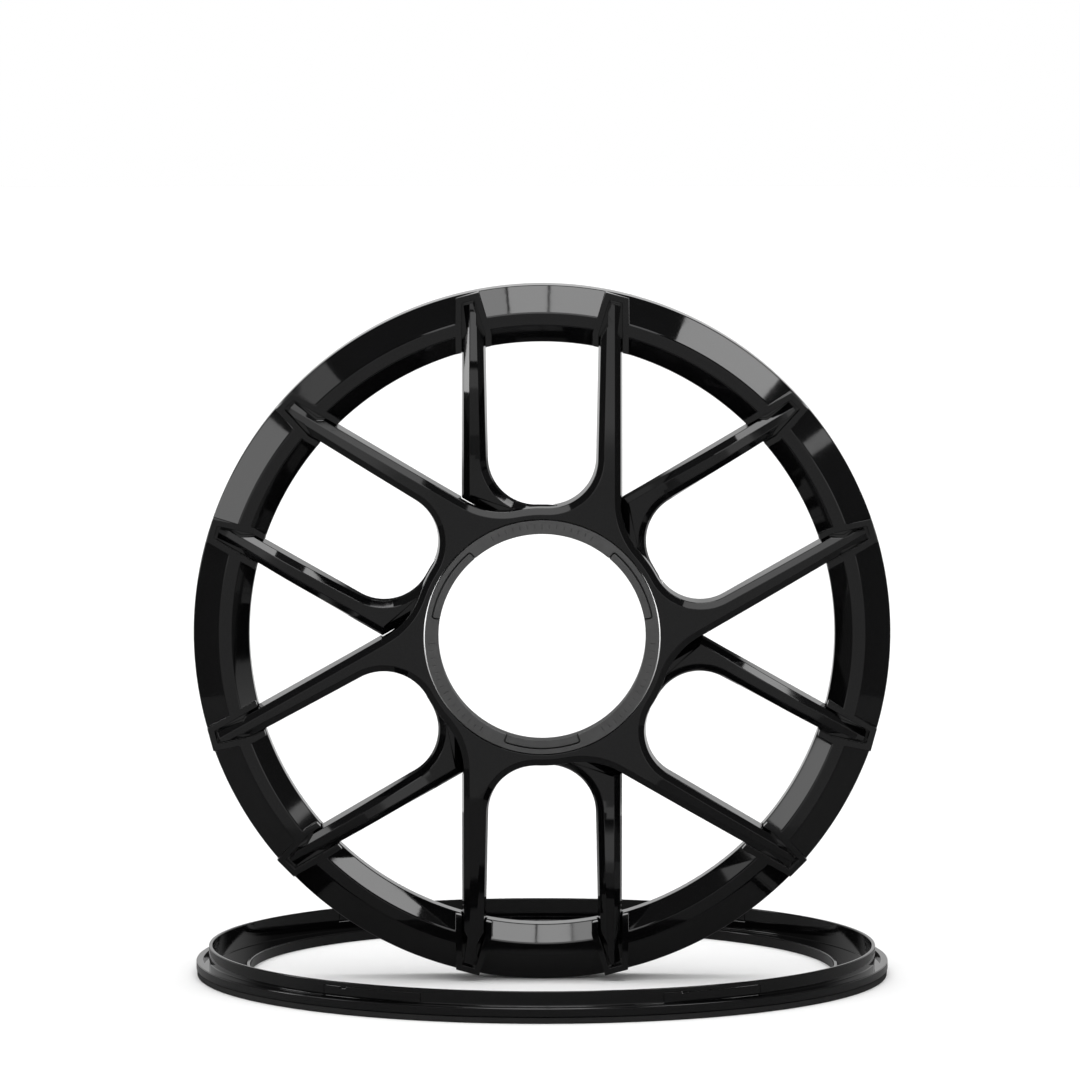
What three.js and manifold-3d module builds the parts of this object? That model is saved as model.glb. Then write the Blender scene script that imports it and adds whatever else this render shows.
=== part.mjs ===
// A wheel-style loudspeaker grille, standing upright in the flat mounting ring that it twists onto.
// Millimetres, +Z up. The mounting ring lies on Z = 0 and the wheel faces -Y.
import * as THREE from "three";
import { mergeVertices } from "three/addons/utils/BufferGeometryUtils.js";
import Module from "manifold-3d";

// Overall
const OUTER_R = 165; // skirt of the wheel and flange of the mounting ring
const RING_STEPS = 72; // flats round a full ring
const GAP = 0.3; // between pieces that touch
const SECTOR = Math.PI / 3; // the spokes repeat six times

// Rim: radii, and depths counted forward from the back edge of the skirt
const SKIRT_DEPTH = 19;
const FLAT_DEPTH = 29;
const FLAT_R = [146.7, 152.6];
const THROAT_R = 138.5;
const BEVEL_DEPTH = 21.8;
const THROAT_BACK = 11;
const RIM_WALL = 3;
const SKIRT_INNER_R = 160.6;
const LUG_ARC = 6; // locking lugs inside the skirt, in degrees
const LUG_Z = [4, 6.5];
const PAST = 1; // how far a cutter runs past what it cuts

// Spiders, in a frame where a pair of spokes runs along +Y and straddles X = 0
const HUB_R = 61;
const BORE_R = 55.8;
const HUB_FACE = 39;
const HUB_BACK = 26;
const LAYER_SPLIT = 32; // underside of the front spider where it laps the rear one
const V_EDGE = 37; // distance of the outer edge of a spoke from the pair's middle line
const U_EDGE = [26.4, 27.6]; // inner edge at the hub and at the rim
const U_EDGE_Y = [84, 140]; // where those two are measured
const U_CORNER_R = 23.5;
const CORNER_STEPS = 7;
const REAR_FIRST = CORNER_STEPS + 1; // a rear sector's stations follow its corner arc
const SHOULDER_R = 36.3;
const SHOULDER_X = -18.8;
const SHOULDER_END = -120; // degrees, where the shoulder arc runs into the next front spoke
const CHAMFER = 2.9; // width, and depth too on the rear spokes
const FRONT_CHAMFER_DEPTH = 1.8;
const DRAFT = 0.9;
const STATIONS = [86, 96, 106.5, 117, 128, 139, 150, 162]; // steps along a spoke, past its trimmed end
const TIP_BACK = 17.5;
const BACK_LEVEL_R = 140; // from here out the back of a spoke is level

// Sockets in the rim and the pockets inside them
const SOCKET_WALL = 3.2;
const POCKET_GAP = 0.6;
const POCKET_FLOOR = 16.6;

// Badge ring
const BADGE_R = [48.9, 55.3];
const PAD_R = 52.3;
const PAD_ARC = 39;
const PAD_GROOVE = 0.7;
const PAD_DEPTH = 4;
const PAD_STEPS = 8;

// Screws: shank and head radius, head height
const TIP_SCREW = { shank: 1.45, head: 2.8, headHeight: 2.2, bite: 7 };
const HUB_SCREW = { shank: 1.2, head: 2.1, headHeight: 1.6, bite: 3.6 };
const HUB_SCREW_TURN = 106; // degrees
const SCREW_SIDES = 12;

// Mounting ring, heights above the floor
const COLLAR_R = [157.3, 159];
const COLLAR_TOP = 14.2;
const FLANGE = [3.2, 7.2];
const LEDGE_TOP = 3;
const LEDGE_R = 139.2;
const LIP_TOP = 5;
const GASKET_R = [160.3, 164.6];

// Latch tongues in the collar
const LATCH_ARC = 18.5;
const LATCH_Z = [7.6, 11.6];
const LATCH_SLOT = 0.5;
const LATCH_UNDER = 0.4; // gap under a tongue
const NOTCH = { fromFreeEnd: 3.2, arc: 1, depth: 0.9 };
const RECESS = { outer: 161.7, floor: 5.2 };

// Where the wheel stands in the mounting ring
const WHEEL_BACK_Y = -2;

const GLOSS = { color: 0x0b0b0c, roughness: 0.08, metalness: 0 };
const GUNMETAL = { color: 0x6e6e70, roughness: 0.35, metalness: 0.9 };
const RUBBER = { color: 0x111111, roughness: 0.8, metalness: 0 };
const STEEL = { color: 0x3a3a3c, roughness: 0.4, metalness: 0.9 };

const wasm = await Module();
wasm.setup();

const radians = THREE.MathUtils.degToRad;
const point = (x, y) => new THREE.Vector2(x, y);
const onCircle = (r, angle) => point(r * Math.cos(angle), r * Math.sin(angle));

function solidOf(geometry) {
  const bare = geometry.clone();
  bare.deleteAttribute("normal");
  bare.deleteAttribute("uv");
  const merged = mergeVertices(bare, 1e-4);
  const mesh = new wasm.Mesh({
    numProp: 3,
    vertProperties: new Float32Array(merged.attributes.position.array),
    triVerts: new Uint32Array(merged.index.array),
  });
  return new wasm.Manifold(mesh);
}

function geometryOf(solid) {
  const mesh = solid.getMesh();
  const geometry = new THREE.BufferGeometry();
  geometry.setAttribute("position", new THREE.BufferAttribute(mesh.vertProperties, 3));
  geometry.setIndex(new THREE.BufferAttribute(mesh.triVerts, 1));
  return geometry;
}

function joined(first, others) {
  return others.reduce((solid, geometry) => solid.add(solidOf(geometry)), first);
}

function cutBy(first, others) {
  return others.reduce((solid, geometry) => solid.subtract(solidOf(geometry)), first);
}

// A solid whose section (radius, height) is turned about Z, all the way round.
function turned(section, steps = RING_STEPS) {
  const closed = [...section, section[0]].map(([r, z]) => point(r, z));
  return new THREE.LatheGeometry(closed, steps).rotateX(Math.PI / 2).rotateZ(Math.PI / 2);
}

function stitch(index, from, to, count, start = 0) {
  for (let i = 0; i < count; i++) {
    const j = (i + 1) % count;
    const [a, b, c, d] = [from + start + i, from + start + j, to + start + j, to + start + i];
    index.push(a, b, c, a, c, d);
  }
}

function meshFrom(positions, index) {
  const geometry = new THREE.BufferGeometry();
  geometry.setAttribute("position", new THREE.Float32BufferAttribute(positions, 3));
  geometry.setIndex(index);
  return geometry;
}

// Caps an outline with triangles that face up, or down when flipped. Each spoke is capped across,
// station by station, and the rest of the outline is filled round its hole.
function cap(index, outline, hole, start, flipped, spokes) {
  const all = [...outline, ...hole];
  const add = (a, b, c) => {
    const up = all[b].clone().sub(all[a]).cross(all[c].clone().sub(all[a])) > 0;
    index.push(...(up === flipped ? [a, c, b] : [a, b, c]).map((i) => start + i));
  };
  const inStrip = new Set();
  for (const first of spokes) {
    const last = first + 2 * STATIONS.length - 1;
    for (let k = 0; k < STATIONS.length - 1; k++) {
      add(first + k, first + k + 1, last - k - 1);
      add(first + k, last - k - 1, last - k);
      inStrip.add(first + k + 1).add(last - k - 1);
    }
  }
  const kept = all.map((_, i) => i).filter((i) => !inStrip.has(i));
  const edge = kept.filter((i) => i < outline.length).map((i) => all[i]);
  const holes = hole.length ? [hole] : [];
  for (const triangle of THREE.ShapeUtils.triangulateShape(edge, holes)) {
    add(...triangle.map((i) => kept[i]));
  }
}

// Moves each corner of a closed outline along its mitre, outwards when the amount is positive.
function grown(outline, amount) {
  const count = outline.length;
  return outline.map((corner, i) => {
    const into = corner.clone().sub(outline[(i + count - 1) % count]).normalize();
    const out = outline[(i + 1) % count].clone().sub(corner).normalize();
    const side = point(into.y, -into.x);
    const mitre = side.clone().add(point(out.y, -out.x)).normalize();
    return corner.clone().addScaledVector(mitre, amount / mitre.dot(side));
  });
}

// Stacks copies of an outline, each grown and lifted by its level, and closes the stack.
// An inner outline, which runs the other way round, stays the same size on every level.
function stacked(outline, hole, levels, spokes = []) {
  const positions = [];
  const index = [];
  const perLevel = outline.length + hole.length;
  levels.forEach(({ grow, height }, level) => {
    const loop = grown(outline, grow);
    for (const p of [...loop, ...hole]) {
      positions.push(p.x, p.y, height(p.length()));
    }
    if (level === 0 || level === levels.length - 1) {
      cap(index, loop, hole, level * perLevel, level === 0, spokes);
    }
    if (level > 0) {
      const below = (level - 1) * perLevel;
      stitch(index, below, below + perLevel, outline.length);
      stitch(index, below, below + perLevel, hole.length, outline.length);
    }
  });
  return meshFrom(positions, index);
}

function prism(outline, bottom, top, growBottom = 0, growTop = 0, spokes = []) {
  const levels = [
    { grow: growBottom, height: () => bottom },
    { grow: growTop, height: () => top },
  ];
  return stacked(outline, [], levels, spokes);
}

// A bar whose section (radius, height) is swept round Z between two angles in degrees.
function arcBar([inner, outer], [bottom, top], [from, to], steps = 4) {
  const section = [[inner, bottom], [outer, bottom], [outer, top], [inner, top]];
  const positions = [];
  const index = [];
  for (let step = 0; step <= steps; step++) {
    const angle = radians(from + ((to - from) * step) / steps);
    for (const [r, z] of section) {
      positions.push(r * Math.cos(angle), r * Math.sin(angle), z);
    }
    if (step > 0) {
      stitch(index, step * 4, (step - 1) * 4, 4);
    }
  }
  const last = steps * 4;
  index.push(0, 1, 2, 0, 2, 3, last, last + 2, last + 1, last, last + 3, last + 2);
  return meshFrom(positions, index);
}

function rod(radius, bottom, top, at = point(0, 0)) {
  const rodShape = new THREE.CylinderGeometry(radius, radius, top - bottom, SCREW_SIDES);
  return rodShape.rotateX(Math.PI / 2).translate(at.x, at.y, (bottom + top) / 2);
}

const mirrored = (outline) => outline.map((p) => point(-p.x, p.y)).reverse();
const turnedBy = (outline, angle) => outline.map((p) => p.clone().rotateAround(point(0, 0), angle));
const sixTimes = (make) => Array.from({ length: 6 }, (_, i) => make(i * SECTOR, i)).flat();

function arcPoints(centre, radius, from, to, steps) {
  return Array.from({ length: steps + 1 }, (_, i) =>
    onCircle(radius, from + ((to - from) * i) / steps).add(centre));
}

function uEdgeAt(y) {
  const t = (y - U_EDGE_Y[0]) / (U_EDGE_Y[1] - U_EDGE_Y[0]);
  return U_EDGE[0] + (U_EDGE[1] - U_EDGE[0]) * t;
}

// Centre of the round corner between a spoke's inner edge and the hub.
const U_CENTRE_X = U_EDGE[0] - U_CORNER_R;
const U_CENTRE = point(U_CENTRE_X, Math.sqrt((HUB_R + U_CORNER_R) ** 2 - U_CENTRE_X ** 2));
const U_TANGENT = Math.atan2(U_CENTRE.y, U_CENTRE.x);

// Centre of the shoulder arc, which meets the next front spoke's outer edge without a kink.
const SHOULDER_CENTRE = point(
  SHOULDER_X,
  (V_EDGE + SHOULDER_R - SHOULDER_X * Math.cos(SECTOR)) / Math.sin(SECTOR),
);
const SHOULDER_TANGENT = Math.atan2(SHOULDER_CENTRE.y, SHOULDER_CENTRE.x);

function frontSector() {
  const down = [...STATIONS].reverse();
  return [
    ...STATIONS.map((y) => point(V_EDGE, y)),
    ...down.map((y) => point(uEdgeAt(y), y)),
    ...arcPoints(U_CENTRE, U_CORNER_R, 0, U_TANGENT - Math.PI, CORNER_STEPS),
    onCircle(HUB_R, Math.PI / 2),
    ...arcPoints(SHOULDER_CENTRE, SHOULDER_R, SHOULDER_TANGENT - Math.PI, radians(SHOULDER_END), 5),
  ];
}

// The rear spoke's root runs beside the next front spoke, a draft and a gap away from it.
function rearSector() {
  const clear = V_EDGE + DRAFT + GAP + 0.1;
  const rootAt = (along) =>
    point(clear, along).rotateAround(point(0, 0), SECTOR);
  const apex = rootAt((clear * Math.cos(SECTOR) + V_EDGE) / Math.sin(SECTOR));
  const foot = rootAt(Math.sqrt(HUB_R ** 2 - clear ** 2));
  const footAngle = Math.atan2(foot.y, foot.x);
  const down = [...STATIONS].reverse();
  const corner = mirrored(arcPoints(U_CENTRE, U_CORNER_R, 0, U_TANGENT - Math.PI, CORNER_STEPS));
  const hub = arcPoints(point(0, 0), HUB_R, footAngle, Math.PI - U_TANGENT + SECTOR, 6);
  return [
    ...corner,
    ...STATIONS.map((y) => point(-uEdgeAt(y), y)),
    ...down.map((y) => point(-V_EDGE, y)),
    apex,
    ...hub.slice(0, -1),
  ];
}

const bore = arcPoints(point(0, 0), BORE_R, 0, -2 * Math.PI, RING_STEPS).slice(0, -1);
const ramp = (r, from, to) => THREE.MathUtils.clamp((r - from) / (to - from), 0, 1);

// The front spokes fall towards the rim. The rear ones are level under the shoulder, then rise from
// under it and fall more steeply.
const LEVEL_R = 86.8;
const TIP_R = 157;
const FRONT_FALL = { from: 70, by: 7 };
const REAR_CREST = { r: 117, rise: 4.4 };
const REAR_BEND = { r: 136, fall: 2.45 }; // from here on the rear face falls in a straight line
const REAR_TIP_FALL = 5.4;
const frontFace = (r) => HUB_FACE - FRONT_FALL.by * ramp(r, FRONT_FALL.from, TIP_R) ** 2;
const rearFace = (r) => {
  const rise = REAR_CREST.rise * Math.sin((Math.PI / 2) * ramp(r, LEVEL_R, REAR_CREST.r));
  const curved = REAR_BEND.fall * ramp(r, REAR_CREST.r, REAR_BEND.r) ** 2;
  const straight = REAR_TIP_FALL * ramp(r, REAR_BEND.r, TIP_R);
  return LAYER_SPLIT - GAP + rise - curved - straight;
};
const spokeBack = (r) => HUB_BACK - (HUB_BACK - TIP_BACK) * ramp(r, LEVEL_R, BACK_LEVEL_R);

// Outline of a spoke's tongue beyond the rim's throat, for the front spoke of a pair.
const TONGUE = [
  point(V_EDGE, 140.2), point(35.4, 143), point(V_EDGE, 155.8), point(32.4, 156.9),
  point(30.9, 152), point(30.9, 146.7), point(U_EDGE[1], 141.1),
];
const TONGUE_CENTRE = point(33.6, 149.5);

// What a spider keeps once its spoke ends are trimmed to tongues.
function keepShape(mirror) {
  const flare = 1.5;
  const near = 100;
  const far = 139;
  const outline = [
    point(U_EDGE[0] - flare, far), point(U_EDGE[0] - flare, near),
    point(V_EDGE + flare, near), point(V_EDGE + flare, far), ...TONGUE,
  ];
  const tongue = mirror ? mirrored(outline) : outline;
  const disc = arcPoints(point(0, 0), near + 12, 0, 2 * Math.PI, 24).slice(0, -1);
  const tongues = sixTimes((angle) => prism(turnedBy(tongue, angle), 0, HUB_FACE + 5));
  return joined(solidOf(prism(disc, -1, HUB_FACE + 6)), tongues);
}

// The first station of each of the six spokes in a whole outline.
const spokeStarts = (sector, first) => sixTimes((_, i) => [i * sector.length + first]);

function spider(sector, firstStation, face, chamferDepth, mirror) {
  const outline = sixTimes((angle) => turnedBy(sector, angle));
  const levels = [
    { grow: DRAFT, height: spokeBack },
    { grow: 0, height: (r) => face(r) - chamferDepth },
    { grow: -CHAMFER, height: face },
  ];
  const body = stacked(outline, bore, levels, spokeStarts(sector, firstStation));
  return solidOf(body).intersect(keepShape(mirror));
}

// Every screw's place: one in each tongue, and six round the hub.
const tipPlaces = sixTimes((angle) => [
  TONGUE_CENTRE.clone().rotateAround(point(0, 0), angle),
  point(-TONGUE_CENTRE.x, TONGUE_CENTRE.y).rotateAround(point(0, 0), angle),
]);
const HUB_SCREW_R = (BORE_R + HUB_R) / 2;
const hubPlaces = sixTimes((angle) => [onCircle(HUB_SCREW_R, radians(HUB_SCREW_TURN) + angle)]);

function frontSpider() {
  const rear = rearSector();
  const rearOutline = sixTimes((angle) => turnedBy(rear, angle));
  const spread = DRAFT + GAP;
  const lap = prism(rearOutline, 0, LAYER_SPLIT, spread, spread, spokeStarts(rear, REAR_FIRST));
  const pilots = tipPlaces
    .filter((_, i) => i % 2 === 0)
    .map((at) => rod(TIP_SCREW.shank + GAP, 0, TIP_BACK + TIP_SCREW.bite, at));
  const hubPilots = hubPlaces.map((at) =>
    rod(HUB_SCREW.shank + GAP, 0, LAYER_SPLIT + HUB_SCREW.bite, at));
  const body = spider(frontSector(), 0, frontFace, FRONT_CHAMFER_DEPTH, false);
  return cutBy(body, [lap, ...pilots, ...hubPilots]);
}

function rearSpider() {
  const pilots = tipPlaces
    .filter((_, i) => i % 2 === 1)
    .map((at) => rod(TIP_SCREW.shank + GAP, 0, TIP_BACK + TIP_SCREW.bite, at));
  const hubHoles = hubPlaces.map((at) => rod(HUB_SCREW.shank + GAP, 0, HUB_FACE, at));
  const body = spider(rearSector(), REAR_FIRST, rearFace, CHAMFER, true);
  return cutBy(body, [...pilots, ...hubHoles]);
}

// The rim's section: flat front band, cone and skirt outside, bevel and throat inside, hollow behind.
function rimSection() {
  return [
    [OUTER_R, 0], [OUTER_R, SKIRT_DEPTH], [FLAT_R[1], FLAT_DEPTH], [FLAT_R[0], FLAT_DEPTH],
    [THROAT_R, BEVEL_DEPTH], [THROAT_R, THROAT_BACK], [THROAT_R + RIM_WALL, THROAT_BACK],
    [THROAT_R + RIM_WALL, BEVEL_DEPTH - 1.2], [FLAT_R[0] + 1.2, FLAT_DEPTH - RIM_WALL],
    [FLAT_R[1] - 1, FLAT_DEPTH - RIM_WALL], [SKIRT_INNER_R, SKIRT_DEPTH - 0.3], [SKIRT_INNER_R, 0],
  ];
}

// A pocket follows the tongue's plain taper, not its neck.
const POCKET = [
  point(V_EDGE, 130), point(V_EDGE, 156.4), point(32.4, 157.6), point(U_EDGE[1], 142.4),
  point(uEdgeAt(130), 130),
];

function socketOutline() {
  const [, top, crown, corner] = grown(POCKET, POCKET_GAP + SOCKET_WALL);
  const foot = THROAT_R - 1;
  return [
    point(top.x, Math.sqrt(foot ** 2 - top.x ** 2)), top, crown, corner,
    point(corner.x, Math.sqrt(foot ** 2 - corner.x ** 2)),
  ];
}

const disc = (radius) =>
  prism(arcPoints(point(0, 0), radius, 0, 2 * Math.PI, RING_STEPS).slice(0, -1), -1, FLAT_DEPTH + 5);

// What the socket ring takes of the rim: all inside a radius, and the sockets that reach past it.
function socketShare(spread) {
  const sockets = [false, true].flatMap((mirror) => {
    const block = grown(mirror ? mirrored(socketOutline()) : socketOutline(), spread);
    return sixTimes((angle) => prism(turnedBy(block, angle), -1, FLAT_DEPTH + 5));
  });
  const reach = solidOf(disc(SKIRT_INNER_R - GAP + spread));
  return joined(solidOf(disc(FLAT_R[1] - GAP + spread)), sockets).intersect(reach);
}

function wholeRim() {
  const sockets = [];
  const pockets = [];
  for (const mirror of [false, true]) {
    const block = mirror ? mirrored(socketOutline()) : socketOutline();
    const pocket = mirror ? mirrored(POCKET) : POCKET;
    sockets.push(...sixTimes((angle) =>
      prism(turnedBy(block, angle), THROAT_BACK, FLAT_DEPTH)));
    pockets.push(...sixTimes((angle) =>
      prism(turnedBy(pocket, angle), POCKET_FLOOR, FLAT_DEPTH + 5, POCKET_GAP + DRAFT, POCKET_GAP)));
  }
  const holes = tipPlaces.map((at) => rod(TIP_SCREW.shank + GAP, 0, FLAT_DEPTH, at));
  const lugs = sixTimes((angle) => {
    const middle = THREE.MathUtils.radToDeg(angle);
    return arcBar([COLLAR_R[1] + 0.5, SKIRT_INNER_R + PAST], LUG_Z,
      [middle - LUG_ARC / 2, middle + LUG_ARC / 2], 2);
  });
  const blocks = joined(solidOf(turned(rimSection())), sockets);
  return joined(cutBy(blocks, [disc(THROAT_R), ...pockets, ...holes]), lugs);
}

// The shell is the skirt and the cone. The socket ring is the flat band, the bevel, the throat and
// the sockets, bonded into the shell's front edge.
const rimRing = () => wholeRim().subtract(socketShare(GAP));
const socketRing = () => wholeRim().intersect(socketShare(0));

const padMiddles = [30, 150, 270];

function badgeRing() {
  const section = [
    [BADGE_R[0], HUB_BACK + GAP], [BADGE_R[1], HUB_BACK + GAP], [BADGE_R[1], HUB_FACE],
    [BADGE_R[0], HUB_FACE],
  ];
  const half = PAD_ARC / 2 + THREE.MathUtils.radToDeg(PAD_GROOVE / PAD_R);
  const pockets = padMiddles.map((middle) =>
    arcBar([BADGE_R[0] - 2, PAD_R + PAD_GROOVE], [HUB_FACE - PAD_DEPTH, HUB_FACE + PAST],
      [middle - half, middle + half], PAD_STEPS));
  return cutBy(solidOf(turned(section)), pockets);
}

function badgePad(middle) {
  return arcBar([BADGE_R[0], PAD_R], [HUB_FACE - PAD_DEPTH + GAP, HUB_FACE],
    [middle - PAD_ARC / 2, middle + PAD_ARC / 2], PAD_STEPS);
}

function screw({ shank, head, headHeight, bite }, seat, grip) {
  const body = solidOf(rod(shank, seat - GAP - 0.5, grip + bite - GAP));
  return joined(body, [rod(head, seat - GAP - headHeight, seat - GAP)]);
}

function gasket() {
  const [inner, outer] = GASKET_R;
  const top = FLANGE[0] - GAP;
  return solidOf(turned([[inner, 0], [outer, 0], [outer, top], [inner, top]]));
}

const latchMiddles = [0, 60, 120, 180, 240, 300];

// Tongues are free at their clockwise end, seen from above, and rooted at the other.
function notchArc(middle) {
  const from = middle - LATCH_ARC / 2 + NOTCH.fromFreeEnd;
  return [from, from + NOTCH.arc];
}

function mountingRing() {
  const footR = GASKET_R[0] - GAP;
  const section = [
    [LEDGE_R, 0], [footR, 0], [footR, FLANGE[0]], [OUTER_R, FLANGE[0]], [OUTER_R, FLANGE[1]],
    [COLLAR_R[1], FLANGE[1]], [COLLAR_R[1], COLLAR_TOP], [COLLAR_R[0], COLLAR_TOP],
    [COLLAR_R[0], LEDGE_TOP], [LEDGE_R + 3, LEDGE_TOP], [LEDGE_R + 2, LIP_TOP], [LEDGE_R, LIP_TOP],
  ];
  const slot = THREE.MathUtils.radToDeg(LATCH_SLOT / COLLAR_R[1]);
  const through = [COLLAR_R[0] - 2, COLLAR_R[1] + 0.5];
  const cuts = latchMiddles.flatMap((middle) => {
    const arc = [middle - LATCH_ARC / 2 - slot, middle + LATCH_ARC / 2 + slot];
    return [
      arcBar(through, [LATCH_Z[0] - LATCH_UNDER, LATCH_Z[1] + LATCH_SLOT], arc),
      arcBar([COLLAR_R[1] - 0.2, RECESS.outer], [RECESS.floor, FLANGE[1] + PAST], arc),
    ];
  });
  const teeth = latchMiddles.map((middle) => {
    const [from, to] = notchArc(middle);
    return arcBar([COLLAR_R[0] + 0.1, COLLAR_R[1] - 0.1],
      [LATCH_Z[1] + LATCH_SLOT - NOTCH.depth, LATCH_Z[1] + LATCH_SLOT + 0.5],
      [from + slot, to], 1);
  });
  return joined(cutBy(solidOf(turned(section)), cuts), teeth);
}

function latch(middle) {
  const [from, to] = notchArc(middle);
  const tongue = solidOf(arcBar(COLLAR_R, LATCH_Z, [middle - LATCH_ARC / 2, middle + LATCH_ARC / 2]));
  const notch = arcBar([COLLAR_R[0] - PAST, COLLAR_R[1] + PAST],
    [LATCH_Z[1] - NOTCH.depth, LATCH_Z[1] + PAST], [from, to + 0.2], 1);
  return cutBy(tongue, [notch]);
}

function node(name, solid, look) {
  const mesh = new THREE.Mesh(geometryOf(solid), new THREE.MeshStandardMaterial(look));
  mesh.name = name;
  return mesh;
}

const numbered = (stem, i, width = 1) => stem + "_" + String(i + 1).padStart(width, "0");

const wheel = new THREE.Group();
wheel.rotation.x = Math.PI / 2;
wheel.position.set(0, WHEEL_BACK_Y, OUTER_R);
wheel.add(node("rim_ring", rimRing(), GLOSS));
wheel.add(node("socket_ring", socketRing(), GLOSS));
wheel.add(node("front_spider", frontSpider(), GLOSS));
wheel.add(node("rear_spider", rearSpider(), GLOSS));
wheel.add(node("badge_ring", badgeRing(), GUNMETAL));
padMiddles.forEach((middle, i) => {
  wheel.add(node(numbered("badge_pad", i), solidOf(badgePad(middle)), GUNMETAL));
});
tipPlaces.forEach((at, i) => {
  const mesh = node(numbered("tip_screw", i, 2), screw(TIP_SCREW, THROAT_BACK, TIP_BACK), STEEL);
  mesh.position.set(at.x, at.y, 0);
  wheel.add(mesh);
});
hubPlaces.forEach((at, i) => {
  const mesh = node(numbered("hub_screw", i), screw(HUB_SCREW, HUB_BACK, LAYER_SPLIT), STEEL);
  mesh.position.set(at.x, at.y, 0);
  wheel.add(mesh);
});

const grille = new THREE.Group();
grille.add(wheel);
grille.add(node("mounting_ring", mountingRing(), GLOSS));
grille.add(node("gasket", gasket(), RUBBER));
latchMiddles.forEach((middle, i) => {
  grille.add(node(numbered("latch", i), latch(middle), GLOSS));
});

export default grille;
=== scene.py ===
from math import atan2, cos, degrees, hypot, pi, radians, sin, sqrt

import bmesh
import bpy
from mathutils import Matrix, Vector


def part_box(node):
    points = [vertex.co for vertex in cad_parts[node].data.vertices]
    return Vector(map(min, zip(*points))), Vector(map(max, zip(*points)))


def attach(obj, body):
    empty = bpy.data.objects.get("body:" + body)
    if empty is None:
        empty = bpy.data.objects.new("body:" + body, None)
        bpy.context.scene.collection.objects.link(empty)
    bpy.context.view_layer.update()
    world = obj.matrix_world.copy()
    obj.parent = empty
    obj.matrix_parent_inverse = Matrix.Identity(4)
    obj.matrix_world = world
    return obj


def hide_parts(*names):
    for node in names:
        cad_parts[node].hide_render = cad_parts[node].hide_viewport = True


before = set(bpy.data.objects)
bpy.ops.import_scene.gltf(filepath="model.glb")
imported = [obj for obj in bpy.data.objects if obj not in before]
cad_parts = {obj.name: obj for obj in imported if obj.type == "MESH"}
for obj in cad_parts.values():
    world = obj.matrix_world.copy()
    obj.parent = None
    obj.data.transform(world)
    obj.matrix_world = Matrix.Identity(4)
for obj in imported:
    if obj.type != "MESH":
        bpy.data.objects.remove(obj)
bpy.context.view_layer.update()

# ---------------------------------------------------------------------------------------------
# Rim ring: the outer ring of the wheel, one injection moulding in gloss black ABS. A flat front
# band lies between an outer cone and an inner bevel, and twelve sockets frame the spoke tips.
# It is hollow behind, where the collar of the mounting ring goes in.
# ---------------------------------------------------------------------------------------------
# Pieces are shaped in millimetres about the wheel's axle, +Y up and +Z forward, then stood up.
RING_STEPS = 360
SECTOR = radians(60)
OUTER_R = 165
SKIRT_DEPTH = 19
CONE_TOP_R = 152.6
FLAT_DEPTH = 29
BEVEL_TOP_R = 146.7
BEVEL_DEPTH = 21.8
THROAT_R = 138.5
THROAT_BACK = 11
BARREL_R = 141.5
HOLLOW_R = 160.6
# A shape that cuts reaches this far past the surface it cuts through.
PAST = 5
POCKET_FLOOR = 16.6
POCKET_GAP = 0.6
POCKET_DRAFT = 0.9
SOCKET_WALL = 3.2
SOCKET_FOOT = 0.4
# A spoke's two straight edges, as distances from the middle line of a U-shaped window. The edge on
# the V-shaped window's side is parallel to that line, and the other one leans out a little.
V_EDGE = 37
U_EDGE_HUB = 26.4
U_EDGE_RIM = 27.6
U_EDGE_HUB_Y = 84
U_EDGE_RIM_Y = 140

rim_low, rim_high = (Vector(corner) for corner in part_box("rim_ring"))
axle = Vector(((rim_low.x + rim_high.x) / 2, rim_high.y, (rim_low.z + rim_high.z) / 2))


def start_corner(name, at):
    """A new piece of one corner, in edit mode and ready to be drawn out."""
    bpy.ops.object.select_all(action="DESELECT")
    bpy.ops.mesh.primitive_plane_add(size=1, location=(0, 0, 0))
    piece = bpy.context.object
    piece.name = piece.data.name = name
    bpy.ops.object.mode_set(mode="EDIT")
    bpy.ops.mesh.select_mode(type="VERT")
    bpy.ops.mesh.select_all(action="SELECT")
    bpy.ops.mesh.merge(type="CENTER")
    bpy.ops.transform.translate(value=at)
    return piece


def draw_face(name, corners):
    """Draws edges from corner to corner and fills the outline."""
    corners = [Vector(corner) for corner in corners]
    piece = start_corner(name, corners[0])
    for here, there in zip(corners, corners[1:]):
        bpy.ops.mesh.extrude_region_move(TRANSFORM_OT_translate={"value": there - here})
    bpy.ops.mesh.select_all(action="SELECT")
    bpy.ops.mesh.edge_face_add()
    return piece


def pick(test, kind="verts"):
    """Selects only those corners, edges or faces for which the test holds."""
    bpy.ops.mesh.select_mode(type={"verts": "VERT", "edges": "EDGE", "faces": "FACE"}[kind])
    bpy.ops.mesh.select_all(action="DESELECT")
    shape = bmesh.from_edit_mesh(bpy.context.object.data)
    for part in getattr(shape, kind):
        if test(part):
            part.select_set(True)
    bmesh.update_edit_mesh(bpy.context.object.data)


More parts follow.
